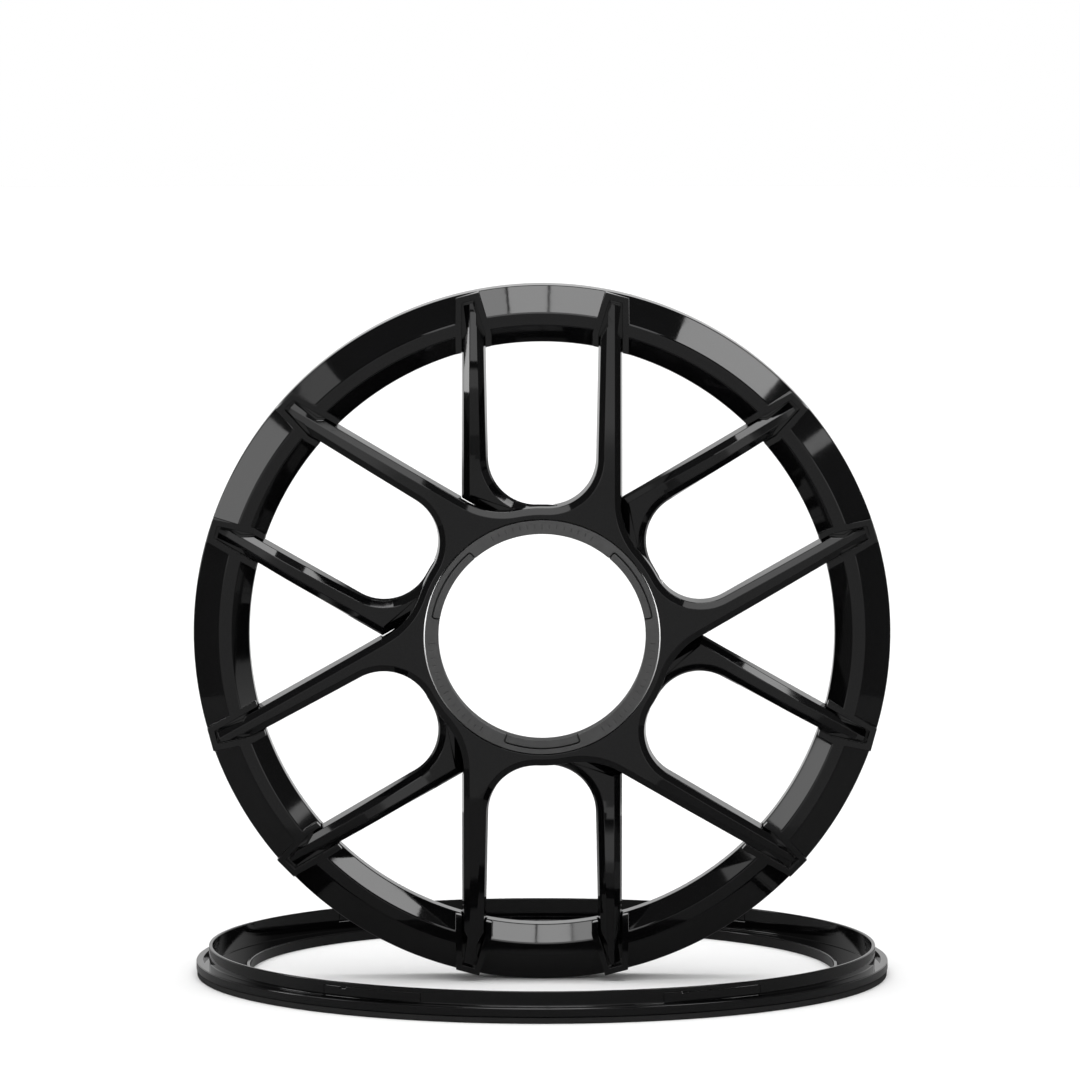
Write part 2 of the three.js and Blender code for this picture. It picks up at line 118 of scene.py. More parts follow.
def turned_ring(name, profile, steps=RING_STEPS, arc=2 * pi):
    """Turns a profile of (radius, height, rounding) about Z, with each corner rounded first."""
    piece = draw_face(name, [(r, 0, z) for r, z, _ in profile])
    for r, z, rounding in profile:
        if rounding:
            corner = Vector((r, 0, z))
            pick(lambda v: (v.co - corner).length < 1e-3)
            bpy.ops.mesh.bevel(offset=rounding, segments=4, affect="VERTICES", clamp_overlap=True)
    bpy.ops.mesh.select_all(action="SELECT")
    whole = abs(arc - 2 * pi) < 1e-6
    if whole:
        bpy.ops.mesh.delete(type="ONLY_FACE")
        bpy.ops.mesh.select_all(action="SELECT")
    bpy.ops.mesh.spin(steps=steps, angle=-arc, center=(0, 0, 0), axis=(0, 0, 1))
    bpy.ops.mesh.select_all(action="SELECT")
    bpy.ops.mesh.remove_doubles(threshold=1e-3)
    bpy.ops.mesh.normals_make_consistent(inside=False)
    bpy.ops.object.mode_set(mode="OBJECT")
    return piece


def prism(name, outline, bottom, top, spread=0):
    """An outline of (x, y) raised from bottom to top, grown by spread at its foot."""
    foot = grown(outline, spread) if spread else outline
    piece = draw_face(name, [(x, y, bottom) for x, y in foot])
    bpy.ops.mesh.extrude_region_move(TRANSFORM_OT_translate={"value": (0, 0, top - bottom)})
    if spread:
        shape = bmesh.from_edit_mesh(piece.data)
        for v in shape.verts:
            if v.select:
                away = lambda i: hypot(v.co.x - foot[i][0], v.co.y - foot[i][1])
                nearest = min(range(len(foot)), key=away)
                v.co.x, v.co.y = outline[nearest]
        bmesh.update_edit_mesh(piece.data)
    bpy.ops.mesh.select_all(action="SELECT")
    bpy.ops.mesh.normals_make_consistent(inside=False)
    bpy.ops.object.mode_set(mode="OBJECT")
    return piece


def copies_round(piece):
    """Copies all of a piece round the axle until there are six of it."""
    bpy.context.view_layer.objects.active = piece
    bpy.ops.object.mode_set(mode="EDIT")
    bpy.ops.mesh.select_all(action="SELECT")
    bpy.ops.mesh.spin(steps=5, dupli=True, angle=5 * SECTOR, center=(0, 0, 0), axis=(0, 0, 1))
    bpy.ops.object.mode_set(mode="OBJECT")
    return piece


def join(name, pieces):
    bpy.ops.object.select_all(action="DESELECT")
    for piece in pieces:
        piece.select_set(True)
    bpy.context.view_layer.objects.active = pieces[0]
    bpy.ops.object.join()
    pieces[0].name = pieces[0].data.name = name
    return pieces[0]


def finish_modifiers(piece):
    """Applies every modifier of a piece, in order."""
    bpy.ops.object.select_all(action="DESELECT")
    piece.select_set(True)
    bpy.context.view_layer.objects.active = piece
    for modifier in list(piece.modifiers):
        bpy.ops.object.modifier_apply(modifier=modifier.name)


def combine(piece, tool, operation):
    """Adds or takes away a tool shape, which is then thrown away."""
    boolean = piece.modifiers.new("combine", "BOOLEAN")
    boolean.operation = operation
    boolean.solver = "EXACT"
    boolean.object = tool
    finish_modifiers(piece)
    bpy.data.objects.remove(tool, do_unlink=True)
    return piece


def soften_edges(piece, width, sharper_than=28):
    """Rounds the sharp edges a little, as a mould does, and keeps the flats looking flat."""
    finish_modifiers(piece)
    bpy.ops.object.mode_set(mode="EDIT")
    bpy.ops.mesh.select_all(action="SELECT")
    bpy.ops.mesh.remove_doubles(threshold=0.004)
    bpy.ops.mesh.dissolve_degenerate(threshold=0.004)
    bpy.ops.object.mode_set(mode="OBJECT")
    bevel = piece.modifiers.new("edge radius", "BEVEL")
    bevel.width = width
    bevel.segments = 2
    bevel.limit_method = "ANGLE"
    bevel.angle_limit = radians(sharper_than)
    bevel.use_clamp_overlap = False
    bevel.miter_outer = "MITER_ARC"
    finish_modifiers(piece)
    bpy.ops.object.shade_smooth_by_angle(angle=radians(35))
    flats = piece.modifiers.new("flat faces", "WEIGHTED_NORMAL")
    flats.keep_sharp = True
    flats.weight = 60
    finish_modifiers(piece)


def stand_up(piece):
    """Turns a piece from the wheel's own axes to its place, upright and facing the front."""
    bpy.ops.object.select_all(action="DESELECT")
    piece.select_set(True)
    bpy.context.view_layer.objects.active = piece
    piece.rotation_euler = (pi / 2, 0, 0)
    piece.scale = (0.001, 0.001, 0.001)
    piece.location = axle
    bpy.ops.object.transform_apply(location=True, rotation=True, scale=True)


def grown(outline, amount):
    """Moves each corner of a closed outline along its mitre. The outline runs anticlockwise."""
    result = []
    for i, corner in enumerate(outline):
        here = Vector(corner)
        into = (here - Vector(outline[i - 1])).normalized()
        out = (Vector(outline[(i + 1) % len(outline)]) - here).normalized()
        side = Vector((into.y, -into.x))
        mitre = (side + Vector((out.y, -out.x))).normalized()
        place = here + mitre * (amount / mitre.dot(side))
        result.append((place.x, place.y))
    return result


def mirrored(outline):
    return [(-x, y) for x, y in reversed(outline)]


def u_edge_at(y):
    lean = (U_EDGE_RIM - U_EDGE_HUB) * (y - U_EDGE_HUB_Y) / (U_EDGE_RIM_Y - U_EDGE_HUB_Y)
    return U_EDGE_HUB + lean


# Up the outside, over the front, down the throat, and back through the hollow behind.
rim_profile = [
    (OUTER_R, 0, 0.5), (OUTER_R, SKIRT_DEPTH, 0.6), (CONE_TOP_R, FLAT_DEPTH, 0.5),
    (BEVEL_TOP_R, FLAT_DEPTH, 0.5), (THROAT_R, BEVEL_DEPTH, 0.5), (THROAT_R, THROAT_BACK, 0.4),
    (BARREL_R, THROAT_BACK, 0.4), (BARREL_R, 20.6, 0.6), (147.9, 26, 0.6), (151.6, 26, 0.6),
    (HOLLOW_R, 18.7, 0.6), (HOLLOW_R, 0, 0.3),
]
rim = turned_ring("rim", rim_profile)
pocket = [(V_EDGE, 130), (V_EDGE, 156.4), (32.4, 157.6), (U_EDGE_RIM, 142.4), (u_edge_at(130), 130)]
_, frame_top, frame_crown, frame_corner, _ = grown(pocket, POCKET_GAP + SOCKET_WALL)
foot_r = THROAT_R + SOCKET_FOOT
socket = [
    (frame_top[0], sqrt(foot_r**2 - frame_top[0] ** 2)), frame_top, frame_crown, frame_corner,
    (frame_corner[0], sqrt(foot_r**2 - frame_corner[0] ** 2)),
]
socket_blocks = []
socket_pockets = []
for side in (1, -1):
    block = socket if side > 0 else mirrored(socket)
    hollow = pocket if side > 0 else mirrored(pocket)
    opening = grown(hollow, POCKET_GAP)
    socket_blocks.append(copies_round(prism("block", block, THROAT_BACK, FLAT_DEPTH)))
    cut = prism("hollow", opening, POCKET_FLOOR, FLAT_DEPTH + PAST, POCKET_DRAFT)
    socket_pockets.append(copies_round(cut))
combine(rim, join("blocks", socket_blocks), "UNION")
combine(rim, join("hollows", socket_pockets), "DIFFERENCE")
soften_edges(rim, 0.3)
stand_up(rim)
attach(rim, "wheel")
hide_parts("rim_ring", "socket_ring")


def linear(code):
    """An sRGB hex colour as the linear values that Blender's sockets take."""
    parts = [int(code[i:i + 2], 16) / 255 for i in (1, 3, 5)]
    return tuple(p / 12.92 if p <= 0.04045 else ((p + 0.055) / 1.055) ** 2.4 for p in parts) + (1,)


def add_node(tree, kind, inputs, **settings):
    """Adds a node. An input is a value, or the output of another node, which is linked."""
    node = tree.nodes.new(kind)
    for name, value in settings.items():
        setattr(node, name, value)
    for name, value in inputs.items():
        if isinstance(value, bpy.types.NodeSocket):
            tree.links.new(value, node.inputs[name])
        else:
            node.inputs[name].default_value = value
    return node


def new_material(name):
    material = bpy.data.materials.new(name)
    material.use_nodes = True
    return material, material.node_tree, material.node_tree.nodes["Principled BSDF"]


def give(piece, material):
    piece.data.materials.clear()
    piece.data.materials.append(material)


# ABS moulded against a polished tool: nearly black with a crisp gloss. A faint orange peel about
# 4 mm across bends the reflections a little, and handling leaves soft patches and fine hairlines.
abs_black, tree, shader = new_material("gloss black ABS")
place = add_node(tree, "ShaderNodeTexCoord", {}).outputs["Object"]
smudge = add_node(
    tree, "ShaderNodeTexNoise", {"Vector": place, "Scale": 45, "Detail": 3, "Roughness": 0.55})
hairline_run = add_node(
    tree, "ShaderNodeMapping",
    {"Vector": place, "Scale": (60, 900, 2200), "Rotation": (0.3, 0.5, 0.2)})
hairline = add_node(
    tree, "ShaderNodeTexNoise",
    {"Vector": hairline_run.outputs["Vector"], "Scale": 1, "Detail": 1})
fine_lines = add_node(
    tree, "ShaderNodeMapRange",
    {"Value": hairline.outputs["Fac"],
     "From Min": 0.66, "From Max": 0.78, "To Min": 0, "To Max": 0.05})
patches = add_node(
    tree, "ShaderNodeMapRange",
    {"Value": smudge.outputs["Fac"],
     "From Min": 0.35, "From Max": 0.7, "To Min": 0.035, "To Max": 0.075})
gloss = add_node(
    tree, "ShaderNodeMath", {0: patches.outputs["Result"], 1: fine_lines.outputs["Result"]},
    operation="ADD")
tree.links.new(gloss.outputs["Value"], shader.inputs["Roughness"])
peel = add_node(
    tree, "ShaderNodeTexNoise", {"Vector": place, "Scale": 250, "Detail": 1, "Roughness": 0.4})
peel_bump = add_node(
    tree, "ShaderNodeBump", {"Height": peel.outputs["Fac"], "Strength": 0.12, "Distance": 0.00004})
tree.links.new(peel_bump.outputs["Normal"], shader.inputs["Normal"])
tone = add_node(
    tree, "ShaderNodeMix",
    {"Factor": smudge.outputs["Fac"], "A": linear("#030303"), "B": linear("#070708")},
    data_type="RGBA")
tree.links.new(tone.outputs["Result"], shader.inputs["Base Color"])
shader.inputs["IOR"].default_value = 1.5
give(rim, abs_black)

# ---------------------------------------------------------------------------------------------
# Front spider: the hub face and the right-hand spoke of each pair, one moulding in the same ABS.
# It lies over the rear spider, and its spokes end in tongues that sit in the rim's sockets.
# ---------------------------------------------------------------------------------------------
HUB_R = 61
BORE_R = 55.8
HUB_FACE = 39
HUB_BACK = 26
LAYER_SPLIT = 32
TIP_BACK = 17.5
TIP_R = 157
CHAMFER = 2.9
DRAFT = 0.9
FOOT = 0.6
GAP = 0.3
U_CORNER_R = 23.5
SHOULDER_R = 36.3
SPOKE_END = 162
# Distances along a spoke where its faces are cut across, so that they can curve.
STATIONS = [66, 72, 78.5] + [78.5 + 4.6 * i for i in range(1, 18)]
# The heights of a spoke's back and face change between these radii, by these amounts.
LEVEL_R = 86.8
BACK_END_R = 140
FRONT_LEVEL_R = 70
FRONT_FALL = 7
FRONT_CHAMFER_DEPTH = 1.8
REAR_CREST_R = 117
REAR_RISE = 4.4
REAR_BEND_R = 136
REAR_BEND_FALL = 2.45
REAR_TIP_FALL = 5.4
# The rear spider's root stands this much further than GAP from the front spoke beside it.
ROOT_EXTRA = 0.1
SHOULDER_END = radians(-120)
WASTE_TOP = 45

u_centre_x = U_EDGE_HUB - U_CORNER_R
u_centre = (u_centre_x, sqrt((HUB_R + U_CORNER_R) ** 2 - u_centre_x**2))
shoulder_x = -18.8
shoulder_centre = (shoulder_x, (V_EDGE + SHOULDER_R - shoulder_x * cos(SECTOR)) / sin(SECTOR))
u_tangent = atan2(u_centre[1], u_centre[0])
shoulder_tangent = atan2(shoulder_centre[1], shoulder_centre[0])
tongue = [
    (V_EDGE, 140.2), (35.4, 143), (V_EDGE, 155.8), (32.4, 156.9), (30.9, 152), (30.9, 146.7),
    (U_EDGE_RIM, 141.1),
]
# What is cut from a spoke's end, all round its tongue.
tip_waste = [(38.5, 139), *tongue, (24.5, 139), (15, 139), (15, 175), (55, 175), (55, 139)]


def arc_points(centre, radius, start, end, steps):
    angles = [start + (end - start) * i / steps for i in range(steps + 1)]
    return [(centre[0] + radius * cos(a), centre[1] + radius * sin(a)) for a in angles]


def turn_point(point, angle):
    x, y = point
    return (x * cos(angle) - y * sin(angle), x * sin(angle) + y * cos(angle))


def ramp(value, start, end):
    return min(max((value - start) / (end - start), 0), 1)


def front_sector(g):
    """A sixth of the front spider, from the axle out, grown by g."""
    shoulder = arc_points(
        shoulder_centre, SHOULDER_R - g, shoulder_tangent - pi, SHOULDER_END, steps=14)
    return [
        (0, 0), turn_point(shoulder[-1], -SECTOR), (V_EDGE + g, SPOKE_END),
        (u_edge_at(SPOKE_END) - g, SPOKE_END),
        *arc_points(u_centre, U_CORNER_R - g, 0, u_tangent - pi, steps=22),
        *arc_points((0, 0), HUB_R + g, u_tangent, shoulder_tangent, steps=6)[1:-1],
        *shoulder,
    ]


def sector_sheet(name, outline, stations=()):
    """Six sectors as one flat sheet, cut across at the stations. It is left in edit mode."""
    piece = draw_face(name, [(x, y, 0) for x, y in outline])
    for y in stations:
        bpy.ops.mesh.select_all(action="SELECT")
        bpy.ops.mesh.bisect(plane_co=(0, y, 0), plane_no=(0, 1, 0))
    bpy.ops.mesh.select_all(action="SELECT")
    bpy.ops.mesh.spin(steps=5, dupli=True, angle=5 * SECTOR, center=(0, 0, 0), axis=(0, 0, 1))
    bpy.ops.mesh.select_all(action="SELECT")
    bpy.ops.mesh.remove_doubles(threshold=0.01)
    return piece


def spider(name, outline, back, face, chamfer_depth, mirror):
    """A spider with drafted walls and chamfered edges. Back and face give heights at a radius."""
    piece = sector_sheet(name, outline, STATIONS)
    bpy.ops.mesh.extrude_region_move(TRANSFORM_OT_translate={"value": (0, 0, 1)})
    bpy.ops.mesh.inset(thickness=DRAFT, depth=0, use_even_offset=True)
    bpy.ops.transform.translate(value=(0, 0, 1))
    bpy.ops.mesh.inset(thickness=CHAMFER, depth=0, use_even_offset=True)
    bpy.ops.transform.translate(value=(0, 0, 1))
    level_height = [back, lambda r: back(r) + FOOT, lambda r: face(r) - chamfer_depth, face]
    shape = bmesh.from_edit_mesh(piece.data)
    for v in shape.verts:
        v.co.z = level_height[round(v.co.z)](hypot(v.co.x, v.co.y))
    bmesh.update_edit_mesh(piece.data)
    bpy.ops.mesh.select_all(action="SELECT")
    bpy.ops.mesh.normals_make_consistent(inside=False)
    bpy.ops.object.mode_set(mode="OBJECT")
    waste_outline = mirrored(tip_waste) if mirror else tip_waste
    waste = copies_round(prism("waste", waste_outline, 0, WASTE_TOP))
    combine(piece, waste, "DIFFERENCE")
    bpy.ops.object.select_all(action="DESELECT")
    # The bore's cylinder is longer than the hub is deep, and clears both faces.
    bpy.ops.mesh.primitive_cylinder_add(
        vertices=RING_STEPS, radius=BORE_R, depth=80, location=(0, 0, 30))
    return combine(piece, bpy.context.object, "DIFFERENCE")


def spoke_back(r):
    return HUB_BACK - (HUB_BACK - TIP_BACK) * ramp(r, LEVEL_R, BACK_END_R)


def front_face(r):
    return HUB_FACE - FRONT_FALL * ramp(r, FRONT_LEVEL_R, TIP_R) ** 2


def rear_face(r):
    rise = REAR_RISE * sin(pi / 2 * ramp(r, LEVEL_R, REAR_CREST_R))
    bend = REAR_BEND_FALL * ramp(r, REAR_CREST_R, REAR_BEND_R) ** 2
    return LAYER_SPLIT - GAP + rise - bend - REAR_TIP_FALL * ramp(r, REAR_BEND_R, TIP_R)


def rear_sector(g):
    """A sixth of the rear spider, from the axle out, grown by g. Its root runs by a front spoke."""
    clear = V_EDGE + DRAFT + GAP + ROOT_EXTRA - g
    root_at = lambda along: turn_point((clear, along), SECTOR)
    apex = root_at((clear * cos(SECTOR) + V_EDGE + g) / sin(SECTOR))
    foot = root_at(sqrt((HUB_R + g) ** 2 - clear**2))
    return [
        (0, 0), *mirrored(arc_points(u_centre, U_CORNER_R - g, 0, u_tangent - pi, steps=22)),
        (-u_edge_at(SPOKE_END) + g, SPOKE_END), (-V_EDGE - g, SPOKE_END), apex,
        *arc_points(
            (0, 0), HUB_R + g, atan2(foot[1], foot[0]), pi - u_tangent + SECTOR, steps=10),
    ]


front = spider(
    "front_spokes", front_sector(DRAFT), spoke_back, front_face, FRONT_CHAMFER_DEPTH, mirror=False)
lap = sector_sheet("lap", rear_sector(DRAFT + GAP))
bpy.ops.mesh.extrude_region_move(TRANSFORM_OT_translate={"value": (0, 0, LAYER_SPLIT)})
bpy.ops.mesh.select_all(action="SELECT")
bpy.ops.mesh.normals_make_consistent(inside=False)
bpy.ops.object.mode_set(mode="OBJECT")
combine(front, lap, "DIFFERENCE")
soften_edges(front, 0.3, sharper_than=20)
stand_up(front)
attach(front, "wheel")
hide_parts("front_spider")
give(front, abs_black)

# ---------------------------------------------------------------------------------------------
# Rear spider: the left-hand spoke of each pair. The six pass under the shoulders of the hub and
# are joined behind it in a ring, moulded in the same ABS and screwed on from behind.
# ---------------------------------------------------------------------------------------------
rear = spider("rear_spokes", rear_sector(DRAFT), spoke_back, rear_face, CHAMFER, mirror=True)
soften_edges(rear, 0.3, sharper_than=20)
stand_up(rear)
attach(rear, "wheel")
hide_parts("rear_spider")
give(rear, abs_black)

# ---------------------------------------------------------------------------------------------
# Badge ring: a turned aluminium ring pressed into the hub, bead-blasted and dyed gunmetal. Three
# pads are let into its face, each with a groove round it. Plain index marks lie between the pads.
# ---------------------------------------------------------------------------------------------
BADGE_INNER_R = 48.9
BADGE_OUTER_R = 55.3
PAD_R = 52.3
PAD_ARC = 39
PAD_GROOVE = 0.7
PAD_DEPTH = 4
PAD_MIDDLES = (30, 150, 270)
MARK_MIDDLES = (90, 210, 330)
MARKS_EACH_SIDE = 7
MARK_STEP = 3.8
MARK_HALF_WIDTH = 0.2
MARK_OUTER_R = 53.4
MARK_INNER_R = 51.7
# The middle mark of a group and its two end ones are longer.
LONG_MARK_INNER_R = 50.9
MARK_DEPTH = 0.15


def bar_outline(inner, outer, middle, half, rounding):
    """The outline of a curved bar, in degrees about its middle, with its outer corners rounded."""
    turn = degrees(rounding / outer)
    start, end = middle - half, middle + half
    low = turn_point((outer - rounding, 0), radians(start + turn))
    high = turn_point((outer - rounding, 0), radians(end - turn))
    return [
        *arc_points(low, rounding, radians(start - 90), radians(start), 6),
        *arc_points((0, 0), outer, radians(start + turn), radians(end - turn), 40)[1:-1],
        *arc_points(high, rounding, radians(end), radians(end + 90), 6),
        *arc_points((0, 0), inner, radians(end), radians(start), 40),
    ]


badge = turned_ring("badge", [
    (BADGE_INNER_R, HUB_BACK + GAP, 0.3), (BADGE_OUTER_R, HUB_BACK + GAP, 0.3),
    (BADGE_OUTER_R, HUB_FACE, 0.12), (BADGE_INNER_R, HUB_FACE, 0.35),
])
groove = degrees(PAD_GROOVE / PAD_R)
pad_hollows = []
for middle in PAD_MIDDLES:
    outline = bar_outline(
        BADGE_INNER_R - 2, PAD_R + PAD_GROOVE, middle, PAD_ARC / 2 + groove, 1.4)
    pad_hollows.append(prism("hollow", outline, HUB_FACE - PAD_DEPTH, HUB_FACE + 1))
combine(badge, join("hollows", pad_hollows), "DIFFERENCE")
marks = []
for middle in MARK_MIDDLES:
    for step in range(-MARKS_EACH_SIDE, MARKS_EACH_SIDE + 1):
        inner = LONG_MARK_INNER_R if step % MARKS_EACH_SIDE == 0 else MARK_INNER_R
        corners = [
            (inner, -MARK_HALF_WIDTH), (MARK_OUTER_R, -MARK_HALF_WIDTH),
            (MARK_OUTER_R, MARK_HALF_WIDTH), (inner, MARK_HALF_WIDTH),
        ]
        angle = radians(middle + MARK_STEP * step)
        outline = [turn_point(corner, angle) for corner in corners]
        marks.append(prism("mark", outline, HUB_FACE - MARK_DEPTH, HUB_FACE + 1))
combine(badge, join("marks", marks), "DIFFERENCE")
soften_edges(badge, 0.12, sharper_than=40)
stand_up(badge)
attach(badge, "badge")
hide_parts("badge_ring")

# Aluminium, bead-blasted and anodised gunmetal: a soft metallic grey with a fine satin grain about
# 0.2 mm across, and faint clouding of the dye about 6 mm across.
gunmetal, tree, shader = new_material("bead-blasted anodised aluminium")
place = add_node(tree, "ShaderNodeTexCoord", {}).outputs["Object"]
grain = add_node(
    tree, "ShaderNodeTexNoise", {"Vector": place, "Scale": 5200, "Detail": 2, "Roughness": 0.6})
cloud = add_node(tree, "ShaderNodeTexNoise", {"Vector": place, "Scale": 160, "Detail": 3})
dyed = add_node(
    tree, "ShaderNodeMix",
    {"Factor": cloud.outputs["Fac"], "A": linear("#686868"), "B": linear("#787878")},
    data_type="RGBA")
tree.links.new(dyed.outputs["Result"], shader.inputs["Base Color"])
satin = add_node(
    tree, "ShaderNodeMapRange", {"Value": grain.outputs["Fac"], "To Min": 0.5, "To Max": 0.62})
tree.links.new(satin.outputs["Result"], shader.inputs["Roughness"])
blast = add_node(
    tree, "ShaderNodeBump", {"Height": grain.outputs["Fac"], "Strength": 0.35, "Distance": 0.00003})
tree.links.new(blast.outputs["Normal"], shader.inputs["Normal"])
shader.inputs["Metallic"].default_value = 1
give(badge, gunmetal)

for number, middle in enumerate(PAD_MIDDLES, 1):
    pad = prism(
        f"badge_inset_{number}", bar_outline(BADGE_INNER_R, PAD_R, middle, PAD_ARC / 2, 0.9),
        HUB_FACE - PAD_DEPTH + GAP, HUB_FACE)
    soften_edges(pad, 0.15, sharper_than=40)
    stand_up(pad)
    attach(pad, "badge")
    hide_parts(f"badge_pad_{number}")
    give(pad, gunmetal)

# ---------------------------------------------------------------------------------------------
# Screws: small pan-head screws of blackened steel, driven from behind. Twelve hold the spokes'
# tongues in their sockets, and six hold the rear spider to the front one.
# ---------------------------------------------------------------------------------------------
screw_steel, tree, shader = new_material("black oxide steel")
# Black oxide leaves steel dark and a little oily, with bare metal showing on the rubbed edges.
place = add_node(tree, "ShaderNodeTexCoord", {}).outputs["Object"]
oxide = add_node(tree, "ShaderNodeTexNoise", {"Vector": place, "Scale": 1800, "Detail": 4})
rubbed = add_node(
    tree, "ShaderNodeMapRange",
    {"Value": add_node(tree, "ShaderNodeNewGeometry", {}).outputs["Pointiness"],
     "From Min": 0.53, "From Max": 0.62})
coat = add_node(
    tree, "ShaderNodeMix",
    {"Factor": rubbed.outputs["Result"], "A": linear("#2c2c2e"), "B": linear("#8f8f92")},
    data_type="RGBA")
tree.links.new(coat.outputs["Result"], shader.inputs["Base Color"])
dull = add_node(
    tree, "ShaderNodeMapRange", {"Value": oxide.outputs["Fac"], "To Min": 0.3, "To Max": 0.55})
tree.links.new(dull.outputs["Result"], shader.inputs["Roughness"])
pits = add_node(
    tree, "ShaderNodeBump", {"Height": oxide.outputs["Fac"], "Strength": 0.3, "Distance": 0.00002})
tree.links.new(pits.outputs["Normal"], shader.inputs["Normal"])
shader.inputs["Metallic"].default_value = 1


def pan_screw(shank_r, head_r, head_height, seat, tip):
    """A screw that points forward: head behind its seat, cross recess, plain shank."""
    bpy.ops.object.select_all(action="DESELECT")
    top = seat - GAP
    bpy.ops.mesh.primitive_cylinder_add(
        vertices=40, radius=head_r, depth=head_height, location=(0, 0, 0))
    screw = bpy.context.object
    bpy.ops.object.mode_set(mode="EDIT")
    pick(lambda f: f.normal.z > 0.9, "faces")
    bpy.ops.mesh.inset(thickness=head_r - shank_r, depth=0)
    bpy.ops.mesh.extrude_region_move(TRANSFORM_OT_translate={"value": (0, 0, tip - top - 1)})
    bpy.ops.mesh.extrude_region_move(TRANSFORM_OT_translate={"value": (0, 0, 1)})
    bpy.ops.transform.resize(value=(0.45, 0.45, 1))
    pick(lambda e: all(v.co.z < 1e-3 - head_height / 2 for v in e.verts), "edges")
    bpy.ops.mesh.bevel(offset=head_height * 0.42, segments=5, affect="EDGES")
    bpy.ops.mesh.select_all(action="SELECT")
    bpy.ops.transform.translate(value=(0, 0, top - head_height / 2))
    bpy.ops.object.mode_set(mode="OBJECT")
    slots = []
    slot_floor = top - head_height + head_height * 0.55
    for wide, tall in ((head_r * 1.15, head_r * 0.26), (head_r * 0.26, head_r * 1.15)):
        x, y = wide / 2, tall / 2
        slots.append(prism(
            "slot", [(-x, -y), (x, -y), (x, y), (-x, y)], top - head_height - 1, slot_floor))
    for slot in slots:
        combine(screw, slot, "DIFFERENCE")
    return screw


def fit_screws(name, node, places, digits, **sizes):
    """One screw is made, and each place gets a copy of it with its own mesh."""
    model = pan_screw(**sizes)
    soften_edges(model, 0.06, sharper_than=40)
    for number, (x, y) in enumerate(places, 1):
        screw = model.copy()
        screw.data = model.data.copy()
        screw.name = screw.data.name = f"{name}_{number}"
        bpy.context.collection.objects.link(screw)
        turned = Matrix.Rotation(0.9 * number, 4, "Z")
        screw.data.transform(Matrix.Translation((x, y, 0)) @ turned)
        stand_up(screw)
        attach(screw, "wheel")
        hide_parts(f"{node}_{number:0{digits}d}")
        give(screw, screw_steel)
    bpy.data.objects.remove(model, do_unlink=True)


TONGUE_MIDDLES = ((33.6, 149.5), (-33.6, 149.5))
HUB_SCREW_R = (BORE_R + HUB_R) / 2
HUB_SCREW_TURN = radians(106)
tip_places = [turn_point(at, i * SECTOR) for i in range(6) for at in TONGUE_MIDDLES]
hub_places = [turn_point((HUB_SCREW_R, 0), HUB_SCREW_TURN + i * SECTOR) for i in range(6)]
fit_screws(
    "rim_screw", "tip_screw", tip_places, digits=2,
    shank_r=1.45, head_r=2.8, head_height=2.2, seat=THROAT_BACK, tip=TIP_BACK + 6.7)
fit_screws(
    "spider_screw", "hub_screw", hub_places, digits=1,
    shank_r=1.2, head_r=2.1, head_height=1.6, seat=HUB_BACK, tip=LAYER_SPLIT + 3.3)

# ---------------------------------------------------------------------------------------------
# Mounting ring: the flat ring that the loudspeaker is screwed down through, in the same gloss
# ABS. A thin upright collar takes the wheel, and a low lip edges the opening inside it.
# ---------------------------------------------------------------------------------------------
MOUNT_INNER_R = 139.2
FLANGE_R = 165
FLANGE_Z = (3.2, 7.2)
COLLAR_R = (157.3, 159)
COLLAR_TOP = 14.2
LEDGE_TOP = 3
LIP_TOP = 5
LATCH_ARC = 18.5
LATCH_Z = (7.6, 11.6)
LATCH_SLOT = 0.5
LATCH_MIDDLES = (0, 60, 120, 180, 240, 300)
NOTCH_FROM_END = 3.2
NOTCH_DEPTH = 0.9
# A tongue stands this far over its drawn top and under its drawn foot.
TONGUE_OVER = 0.33
TONGUE_UNDER = 0.22
TONGUE_TURN = 0.1


def curved_bar(name, radii, heights, start, end, steps=40):
    """A bar swept round Z from one angle in degrees to another."""
    (inner, outer), (low, high) = radii, heights
    profile = [(inner, low, 0), (outer, low, 0), (outer, high, 0), (inner, high, 0)]
    bar = turned_ring(name, profile, steps, radians(end - start))
    bar.rotation_euler.z = radians(start)
    bpy.ops.object.transform_apply(rotation=True)
    return bar


def lay_down(piece):
    """Brings a piece that lies flat from millimetres to its place on the floor."""
    bpy.ops.object.select_all(action="DESELECT")
    piece.select_set(True)
    bpy.context.view_layer.objects.active = piece
    piece.scale = (0.001, 0.001, 0.001)
    bpy.ops.object.transform_apply(scale=True)


